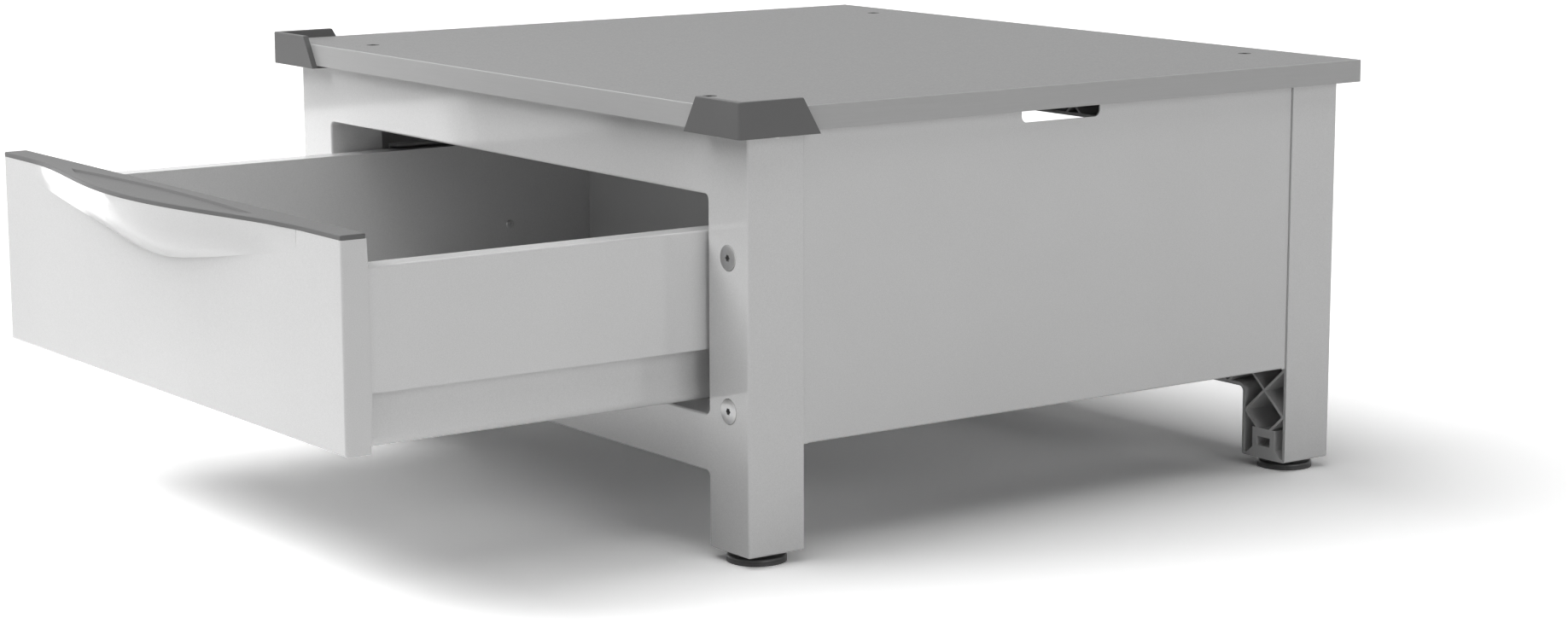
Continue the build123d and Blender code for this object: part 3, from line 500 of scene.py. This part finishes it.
# %% Dark satin plastic
def grained_grey():
    finish = Finish("grained_grey", IOR=1.5, Specular_IOR_Level=0.4)
    grain = finish.noise(1000, detail=3)
    finish.drive(Base_Color=finish.between(finish.noise(25, detail=2), grey(0.098), grey(0.114)))
    finish.drive(Roughness=0.46 + 0.12 * grain)
    finish.relief(grain + 0.4 * finish.grains(1500), 0.05 * MM)
    return finish


dress(grained_grey(), "corner_stop_left", "corner_stop_right", "handle_cap")

# %% [markdown]
# The feet are black plastic, a little dusty where they meet the floor. The rollers are ivory nylon with
# rings from turning, one every 0.7 millimetres. Rings come from the sine of the distance to the
# roller's axle, and Vector Math works that out from the Object coordinates.

# %% Feet and rollers
DUST_TOP = 3 * MM
RING_WAVES = 9000


def foot_black():
    finish = Finish("foot_black", IOR=1.5)
    height = finish.add("ShaderNodeSeparateXYZ", None, {"Vector": finish.place}, output="Z")
    dust = (1 - finish.sharper(height, 0.0, DUST_TOP)) * finish.noise(500, detail=4)
    finish.drive(Base_Color=finish.between(dust, grey(0.022), grey(0.10)))
    finish.drive(Roughness=0.38 + 0.3 * dust)
    finish.relief(finish.noise(1300, detail=2), 0.03 * MM)
    return finish


def nylon(name, axle):
    finish = Finish(name, IOR=1.53)
    product, distance = {"operation": "MULTIPLY"}, {"operation": "DISTANCE"}
    across = finish.add("ShaderNodeVectorMath", product, {0: finish.place, 1: (0, 1, 1)})
    ends = {0: across, 1: Vector((0, axle.y, axle.z))}
    reach = finish.add("ShaderNodeVectorMath", distance, ends, output="Value")
    rings = finish.math("SINE", reach * RING_WAVES)
    finish.drive(Base_Color=finish.between(finish.noise(200), (0.72, 0.70, 0.64), (0.78, 0.76, 0.71)))
    finish.drive(Roughness=0.34 + 0.1 * finish.noise(900))
    finish.relief(rings, 0.01 * MM)
    return finish


FOOT_CORNERS = [f"{end}_{side}" for end in ENDS for side in SIDES]
dress(foot_black(), *[f"foot_pad_{corner}" for corner in FOOT_CORNERS])
for end in ENDS:
    pair = [f"{end}_roller_{side}" for side in SIDES]
    dress(nylon(f"nylon_{end}", middle(pair[0])), *pair)

# %% [markdown]
# Screws, nuts and axles are zinc-plated steel. Plating is bright but never even: it has a slightly
# blue and yellow haze, a gloss that comes and goes, and light scratches from handling. The screws in
# the leg frames have a darker copy of it, a painted shade that stands for the darker reflections on
# their heads. Sockets and crosses are painted near black as shade: they are the places that see
# little sky within two millimetres, so an Ambient Occlusion node finds them. The deck's screws are
# blackened: the oxide on them hides the metal.

# %% Steel
BLUISH, YELLOWISH = (0.94, 0.95, 1.0), (1.12, 1.11, 1.06)
CREVICE = 2 * MM


def plated_zinc(name, level):
    finish = Finish(name, Metallic=1.0)
    ends = [[share * level for share in tint] for tint in (BLUISH, YELLOWISH)]
    plating = finish.between(finish.noise(160, detail=3), *ends)
    # Painted shade: where little sky is open within two millimetres, the colour goes to near black.
    settings = {"samples": 8, "only_local": True}
    open_sky = finish.add("ShaderNodeAmbientOcclusion", settings, {"Distance": CREVICE}, output="AO")
    unshaded_share = finish.sharper(open_sky, 0.1, 0.6)
    finish.drive(Base_Color=finish.between(unshaded_share, grey(0.02), plating))
    finish.drive(Roughness=0.24 + 0.22 * finish.noise(700, detail=4))
    finish.relief(finish.noise(2200, detail=1, stretch=(1, 0.2, 1)), 0.015 * MM)
    return finish


def black_oxide():
    finish = Finish("black_oxide", IOR=1.3, Specular_IOR_Level=0.3)
    finish.drive(Base_Color=finish.between(finish.noise(700, detail=3), grey(0.012), grey(0.03)))
    finish.drive(Roughness=0.42 + 0.2 * finish.noise(1500))
    finish.relief(finish.noise(2500, detail=1), 0.01 * MM)
    return finish


zinc = plated_zinc("plated_zinc", 0.64)
# A darker copy of the same plating for the frame screws: painted shade for the darker reflections on their
# heads.
dull_zinc = plated_zinc("dull_zinc", 0.42)
blackened = black_oxide()
dress(zinc, *[f"{end}_axle_{side}" for end in ENDS for side in SIDES])

# %% [markdown]
# All the fasteners repeat, so each kind is drawn once as a Geometry Nodes tree and set at the places
# where the CAD model has its plain stand-ins. Nearly all of them are turned parts. A lathe is easy to
# build from a curve: a straight line with one point for each step of the profile is swept by a circle
# that takes each point's own radius. Named inputs carry the sizes from outside into the tree. A thread
# is a three-sided wire wound round the shank, with a radius that is a fixed share of the pitch.

# %% A Geometry Nodes tree for turned parts
HEADING = "heading"
THREAD_WIRE = 0.42


class Part(Tree):
    """A Geometry Nodes tree: a solid about the Z axis, set on every vertex it is given."""

    def __init__(self, name, **sizes):
        group = bpy.data.node_groups.new(name, "GeometryNodeTree")
        group.interface.new_socket("Places", in_out="INPUT", socket_type="NodeSocketGeometry")
        for size, value in sizes.items():
            entry = group.interface.new_socket(size, in_out="INPUT", socket_type="NodeSocketFloat")
            entry.default_value = value
        group.interface.new_socket("Finish", in_out="INPUT", socket_type="NodeSocketMaterial")
        group.interface.new_socket("Parts", in_out="OUTPUT", socket_type="NodeSocketGeometry")
        super().__init__(group)
        self.inputs = self.add("NodeGroupInput")

    def size(self, name):
        """One of the tree's named inputs."""
        return self.inputs.beside(name)

    def turned(self, profile, sides=48):
        """A turned solid from (height, radius) steps, listed from the bottom up."""
        index = self.add("GeometryNodeInputIndex")
        columns = []
        for values in zip(*profile):
            choices = {step + 1: value for step, value in enumerate(values)}
            settings = {"data_type": "FLOAT", "choices": len(profile)}
            columns.append(self.add("GeometryNodeIndexSwitch", settings, {0: index, **choices}))
        axis = self.add("GeometryNodeCurvePrimitiveLine")
        sockets = {"Curve": axis, "Count": len(profile)}
        axis = self.add("GeometryNodeResampleCurve", {"mode": "COUNT"}, sockets)
        place = self.add("ShaderNodeCombineXYZ", None, {"Z": columns[0]})
        axis = self.add("GeometryNodeSetPosition", None, {"Geometry": axis, "Position": place})
        rim = self.add("GeometryNodeCurvePrimitiveCircle", None, {"Resolution": sides, "Radius": 1.0})
        sockets = {"Curve": axis, "Profile Curve": rim, "Scale": columns[1], "Fill Caps": True}
        return self.add("GeometryNodeCurveToMesh", None, sockets)

    def lobed(self, radius, bottom, top, lobes, core, sharpness, taper):
        """A prism with a lobed outline: a star for a driver, or a cross."""
        turn = self.add("GeometryNodeSplineParameter", output="Factor")
        lobe = self.math("COSINE", turn * (math.pi * lobes)) ** (2 * sharpness)
        reach = radius * (core + (1 - core) * lobe)
        rim = self.add("GeometryNodeCurvePrimitiveCircle", None, {"Resolution": 72, "Radius": 1.0})
        place = self.add("GeometryNodeInputPosition")
        place = self.add("ShaderNodeVectorMath", {"operation": "SCALE"}, {0: place, "Scale": reach})
        rim = self.add("GeometryNodeSetPosition", None, {"Geometry": rim, "Position": place})
        ends = [self.add("ShaderNodeCombineXYZ", None, {"Z": level}) for level in (bottom, top)]
        axis = self.add("GeometryNodeCurvePrimitiveLine", None, {"Start": ends[0], "End": ends[1]})
        index = self.add("GeometryNodeInputIndex")
        width = taper + (1 - taper) * index
        sockets = {"Curve": axis, "Profile Curve": rim, "Scale": width, "Fill Caps": True}
        return self.add("GeometryNodeCurveToMesh", None, sockets)

    def thread(self, radius, pitch, bottom, top):
        """A screw thread, wound from bottom to top."""
        length = top - bottom
        radii = {"Start Radius": radius, "End Radius": radius}
        sockets = {"Resolution": 24, "Rotations": length / pitch, "Height": length, **radii}
        wire = self.add("GeometryNodeCurveSpiral", None, sockets)
        wire = self.add("GeometryNodeSetCurveNormal", {"mode": "Z_UP"}, {"Curve": wire})
        sockets = {"Resolution": 3, "Radius": pitch * THREAD_WIRE}
        rim = self.add("GeometryNodeCurvePrimitiveCircle", None, sockets)
        sockets = {"Curve": wire, "Profile Curve": rim, "Fill Caps": True}
        wire = self.add("GeometryNodeCurveToMesh", None, sockets)
        lift = self.add("ShaderNodeCombineXYZ", None, {"Z": bottom})
        return self.add("GeometryNodeTransform", None, {"Geometry": wire, "Translation": lift})

    def cut(self, solid, tool):
        """Cut a tool's shape out of a solid."""
        settings = {"operation": "DIFFERENCE", "solver": "MANIFOLD"}
        return self.add("GeometryNodeMeshBoolean", settings, {"Mesh 1": solid, "Mesh 2": tool})

    def shared(self, *solids):
        """What several solids have in common."""
        settings = {"operation": "INTERSECT", "solver": "MANIFOLD"}
        return self.add("GeometryNodeMeshBoolean", settings, {"Mesh 2": list(solids)})

    def join(self, *parts):
        """Put parts together without cutting them."""
        return self.add("GeometryNodeJoinGeometry", None, {"Geometry": list(parts)})

    def set_out(self, solid):
        """Turn the solid so that Z points along each vertex's heading, set it there and finish it."""
        settings = {"data_type": "FLOAT_VECTOR"}
        heading = self.add("GeometryNodeInputNamedAttribute", settings, {"Name": HEADING}, output="Attribute")
        turn = self.add("FunctionNodeAlignRotationToVector", {"axis": "Z"}, {"Vector": heading})
        sockets = {"Points": self.inputs, "Instance": solid, "Rotation": turn}
        parts = self.add("GeometryNodeInstanceOnPoints", None, sockets)
        parts = self.add("GeometryNodeRealizeInstances", None, {"Geometry": parts})
        sockets = {"Geometry": parts, "Material": self.size("Finish")}
        parts = self.add("GeometryNodeSetMaterial", None, sockets)
        exit_node = self.tree.nodes.new("NodeGroupOutput")
        self.tree.links.new(parts.link, exit_node.inputs[0])
        print(self.tree.name, "is a tree of", len(self.tree.nodes), "nodes")


# %% [markdown]
# The places come from the CAD model. A node such as the frame screws holds several separate solids in
# one mesh, so its solids are found by walking along edges from vertex to vertex, and each one's box
# tells where its head lies. The inputs Head, which is a radius, and Length are measured on the first
# box. The finished pieces are plain meshes in the same places, so they can take over from the
# stand-ins, which stay behind for collisions. Faces that meet at more than the crease angle keep a
# sharp edge, and the rest are shaded smooth.

# %% Find the stand-ins and set out the real ones
SAME_PLACE = 0.001 * MM
CREASE = math.radians(35)


def solids(name):
    """Lowest and highest corner of every separate solid in a CAD node."""
    copy = bmesh.new()
    copy.from_mesh(nodes[name].data)
    bmesh.ops.remove_doubles(copy, verts=copy.verts, dist=SAME_PLACE)
    waiting = set(copy.verts)
    boxes = []
    while waiting:
        solid = [waiting.pop()]
        for vertex in solid:
            reached = {edge.other_vert(vertex) for edge in vertex.link_edges} & waiting
            waiting -= reached
            solid.extend(reached)
        axes = list(zip(*[vertex.co for vertex in solid]))
        boxes.append((Vector(map(min, axes)), Vector(map(max, axes))))
    copy.free()
    return sorted(boxes, key=lambda box: tuple(round(c, 4) for c in box[0]))


def set_parts(part, name, heading, finish, slot, replaced, **sizes):
    """Set one part on each solid of the replaced nodes, at the end that the heading points to."""
    boxes = [box for node in replaced for box in solids(node)]
    seats, headings = [], []
    for low, high in boxes:
        towards = heading(low) if callable(heading) else Vector(heading)
        centre, half = (low + high) / 2, (high - low) / 2
        seats.append(centre + half * towards)
        headings.append(towards)
    size = boxes[0][1] - boxes[0][0]
    across = [width for width, share in zip(size, headings[0]) if abs(share) < 0.5]
    measured = {"Head": max(across) / 2, "Length": abs(size.dot(headings[0]))}
    seed = bpy.data.meshes.new(f"{name}_places")
    seed.from_pydata(seats, [], [])
    marks = seed.attributes.new(HEADING, "FLOAT_VECTOR", "POINT")
    for mark, towards in zip(marks.data, headings):
        mark.vector = towards
    places = bpy.data.objects.new(f"{name}_places", seed)
    bpy.context.scene.collection.objects.link(places)
    modifier = places.modifiers.new("parts", "NODES")
    modifier.node_group = part.tree
    values = {**measured, **sizes, "Finish": finish.material}
    for item in part.tree.interface.items_tree:
        if item.in_out == "INPUT" and item.name in values:
            modifier[item.identifier] = values[item.name]
    view = bpy.context.evaluated_depsgraph_get()
    mesh = bpy.data.meshes.new_from_object(places.evaluated_get(view))
    bpy.data.objects.remove(places)
    piece = bpy.data.objects.new(name, mesh)
    bpy.context.scene.collection.objects.link(piece)
    mesh.shade_smooth()
    mesh.set_sharp_from_angle(angle=CREASE)
    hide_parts(*replaced)
    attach(piece, body_of(nodes[replaced[0]])[0])
    print(name, "at", len(seats), "places,", len(mesh.polygons), "faces")


print("frame screws:", sum(len(solids(f"frame_screws_{end}")) for end in ENDS), "solids")

# %% [markdown]
# Every screw here is the same below its head: a blunt tip, a threaded core that is thinner than the
# shank, and a plain stretch. Only heads differ, so the steps of the shank are a function of their own.
# Heights are counted from the head's outer face at 0, down into the work. A thread is cut to a depth
# that is a fixed share of its pitch too.

# %% Shank of a screw
THREAD_DEPTH = 0.4


def core_radius(part):
    """The shank's radius at the bottom of its thread."""
    return part.size("Shank") - THREAD_DEPTH * part.size("Pitch")


def shank_steps(part, head_bottom):
    """Steps of a screw from its tip up to the underside of its head."""
    length, pitch, shank = part.size("Length"), part.size("Pitch"), part.size("Shank")
    core = core_radius(part)
    thread_top = head_bottom - part.size("Plain")
    return [
        (-length, core - pitch * 0.4),
        (pitch * 0.5 - length, core),
        (thread_top, core),
        (thread_top + pitch * 0.3, shank),
        (head_bottom, shank),
    ]


def turns_of(part, head_bottom):
    """The thread that goes round those steps."""
    length, pitch = part.size("Length"), part.size("Pitch")
    return part.thread(core_radius(part), pitch, pitch - length, head_bottom - part.size("Plain"))


print("a shank is drawn by:", shank_steps.__name__, "and", turns_of.__name__)

# %% [markdown]
# The frame screws are wide, flat-headed machine screws that pull the leg frame against the sheet-metal
# brackets. Their heads lie almost flush in round recesses, with a six-lobed socket in the middle. The
# edge of the head has a small bevel, which catches the light as a thin ring. A socket or a recess is
# cut with a lobed tool: `core` is its inner radius as a share of the outer one, and `taper` is the width
# of its bottom as a share of the top's.

# %% Frame screws
flat_screw = Part(
    "flat_head_screw",
    Head=8.5 * MM, Thickness=1.6 * MM, Edge=0.35 * MM, Shank=3.0 * MM, Length=40 * MM, Plain=10 * MM,
    Socket=2.5 * MM, Depth=3.2 * MM, Pitch=1.0 * MM,
)
head, thickness, edge = flat_screw.size("Head"), flat_screw.size("Thickness"), flat_screw.size("Edge")
turned_screw = flat_screw.turned([
    *shank_steps(flat_screw, -thickness),
    (-thickness, head),
    (-edge, head),
    (edge * -0.3, head - edge * 0.3),
    (edge * 0.0, head - edge),
])
star = {"lobes": 6, "core": 0.74, "sharpness": 1, "taper": 0.94}
socket = flat_screw.lobed(flat_screw.size("Socket"), -flat_screw.size("Depth"), 1 * MM, **star)
head_with_socket = flat_screw.cut(turned_screw, socket)
flat_screw.set_out(flat_screw.join(head_with_socket, turns_of(flat_screw, -thickness)))
for end, outwards in zip(ENDS, (-1, 1)):
    replaced = [f"frame_screws_{end}"]
    set_parts(flat_screw, f"frame_screw_set_{end}", (0, outwards, 0), dull_zinc, "steel_zinc", replaced)

# %% [markdown]
# The deck's screws are countersunk, blackened and coarse, for chipboard. The board is held down by four
# of them, flush with its skin, so that nothing lifts the machine's feet.

# %% Deck screws
sunk_screw = Part(
    "countersunk_screw",
    Head=5 * MM, Flat=0.3 * MM, Shank=2.5 * MM, Length=38 * MM, Plain=9 * MM,
    Socket=2.3 * MM, Depth=2.0 * MM, Pitch=1.9 * MM,
)
head, flat = sunk_screw.size("Head"), sunk_screw.size("Flat")
neck = sunk_screw.size("Shank") - head
turned_screw = sunk_screw.turned([
    *shank_steps(sunk_screw, neck),
    (-flat, head - flat * 0.2),
    (flat * 0.0, head - flat * 0.5),
])
star = {"lobes": 6, "core": 0.72, "sharpness": 1, "taper": 0.9}
socket = sunk_screw.lobed(sunk_screw.size("Socket"), -sunk_screw.size("Depth"), 1 * MM, **star)
sunk_screw.set_out(sunk_screw.join(sunk_screw.cut(turned_screw, socket), turns_of(sunk_screw, neck)))
set_parts(sunk_screw, "deck_screw_set", (0, 0, 1), blackened, "steel_dark", ["deck_screws"])

# %% [markdown]
# The small screws have pan heads with a cross recess, in three lengths: under the deck for the corner
# stops, on the brackets for the cabinet runners, and inside the tub for the drawer's front. A pan head
# is domed at its rim and nearly flat on top. The recess narrows towards its bottom, as a driver's tip.

# %% Pan-head screws
pan_screw = Part(
    "pan_head_screw",
    Head=4 * MM, Height=2.2 * MM, Shank=2.0 * MM, Length=12 * MM, Plain=1.2 * MM, Pitch=0.9 * MM,
)
head, height = pan_screw.size("Head"), pan_screw.size("Height")
turned_screw = pan_screw.turned([
    *shank_steps(pan_screw, -height),
    (-height, head),
    (height * -0.7, head),
    (height * -0.42, head * 0.95),
    (height * -0.2, head * 0.84),
    (height * -0.06, head * 0.66),
    (height * 0.0, head * 0.4),
])
cross = {"lobes": 4, "core": 0.3, "sharpness": 3, "taper": 0.55}
recess = pan_screw.lobed(head * 0.56, height * -0.75, 0.5 * MM, **cross)
pan_screw.set_out(pan_screw.join(pan_screw.cut(turned_screw, recess), turns_of(pan_screw, -height)))


def inwards(low):
    """Heading of a fastener in a side: towards the middle of the pedestal."""
    return Vector((-1 if low.x > 0 else 1, 0, 0))


stop_sizes = {"Height": 1.8 * MM, "Shank": 1.75 * MM, "Pitch": 1.2 * MM}
front_sizes = {"Shank": 1.9 * MM, "Pitch": 1.3 * MM}
down, back = (0, 0, -1), (0, 1, 0)
set_parts(pan_screw, "stop_screw_set", down, zinc, "steel_zinc", ["corner_stop_screws"], **stop_sizes)
set_parts(pan_screw, "drawer_screw_set", back, zinc, "steel_zinc", ["drawer_front_screws"], **front_sizes)
for side in SIDES:
    replaced = [f"runner_screws_{side}"]
    set_parts(pan_screw, f"runner_screw_set_{side}", inwards, zinc, "steel_zinc", replaced)

# %% [markdown]
# The drawer's runners are riveted on. A blind rivet has a low dome with the stub of its mandrel sunk in
# the middle, so its head is a dome with a small round well.

# %% Blind rivets
rivet = Part("blind_rivet", Head=3.5 * MM, Height=0.8 * MM, Shank=2.0 * MM, Length=4.8 * MM, Well=1.0 * MM)
head, height = rivet.size("Head"), rivet.size("Height")
turned_rivet = rivet.turned([
    (-rivet.size("Length"), rivet.size("Shank") * 0.85),
    (0.3 * MM - rivet.size("Length"), rivet.size("Shank")),
    (-height, rivet.size("Shank")),
    (-height, head * 0.98),
    (height * -0.7, head),
    (height * -0.35, head * 0.85),
    (height * -0.1, head * 0.6),
    (height * 0.0, head * 0.4),
])
rounded = {"lobes": 1, "core": 1.0, "sharpness": 1, "taper": 0.9}
well = rivet.lobed(rivet.size("Well"), height * -0.8, 0.5 * MM, **rounded)
rivet.set_out(rivet.cut(turned_rivet, well))
set_parts(rivet, "drawer_rivet_set", inwards, zinc, "steel_zinc", ["drawer_runner_rivets"])

# %% [markdown]
# A nut is a hexagon bar, bored and tapped, whose corners were turned off to a cone at both ends. So the
# tree does what the workshop does: it keeps what a six-sided prism and a bevelled disc share, and then
# takes out the bore. The thread is left to the relief of the plating, because it lies in the dark.

# %% Nuts
nut = Part("hexagon_nut", Head=7.5 * MM, Length=6.5 * MM, Bore=4.05 * MM, Turn=0.0)
head, height, bore = nut.size("Head"), nut.size("Length"), nut.size("Bore")
prism = nut.add("GeometryNodeMeshCylinder", None, {"Vertices": 6, "Radius": head, "Depth": height})
shift = nut.add("ShaderNodeCombineXYZ", None, {"Z": height * -0.5})
turn = nut.add("ShaderNodeCombineXYZ", None, {"Z": nut.size("Turn")})
sockets = {"Geometry": prism, "Translation": shift, "Rotation": turn}
prism = nut.add("GeometryNodeTransform", None, sockets)
bevelled = nut.turned([
    (-height, head * 0.86),
    (height * -0.88, head * 1.01),
    (height * -0.12, head * 1.01),
    (height * 0.0, head * 0.86),
], sides=64)
drill = nut.turned([
    (height * -1.1, bore * 1.12),
    (height * -0.93, bore),
    (height * -0.07, bore),
    (height * 0.1, bore * 1.12),
])
nut.set_out(nut.cut(nut.shared(prism, bevelled), drill))
set_parts(nut, "foot_nut_set", (0, 0, 1), zinc, "steel_zinc", ["foot_nuts"], Turn=math.radians(90))
for end, towards in zip(ENDS, (1, -1)):
    replaced = [f"weld_nuts_{end}"]
    set_parts(nut, f"weld_nut_set_{end}", (0, towards, 0), zinc, "steel_zinc", replaced, Bore=3.03 * MM)

# %% [markdown]
# The levelling feet screw in and out on M8 studs. Each stud is a turned core with a bevelled end and a
# thread of 1.25 millimetres round it. It belongs to its own foot, so each is a piece of its own. A stud
# has no head, so the input Head is the radius of its thread.

# %% Studs of the levelling feet
stud = Part("levelling_stud", Head=4 * MM, Length=36 * MM, Pitch=1.25 * MM)
radius, length, pitch = stud.size("Head"), stud.size("Length"), stud.size("Pitch")
turned_stud = stud.turned([
    (-length, radius - pitch * 0.5),
    (pitch * -0.7, radius - pitch * 0.5),
    (pitch * 0.0, radius - pitch),
])
thread = stud.thread(radius - pitch * THREAD_WIRE, pitch, pitch - length, -pitch)
stud.set_out(stud.join(turned_stud, thread))
for corner in FOOT_CORNERS:
    set_parts(stud, f"levelling_stud_{corner}", (0, 0, 1), zinc, "steel_zinc", [f"foot_stud_{corner}"])
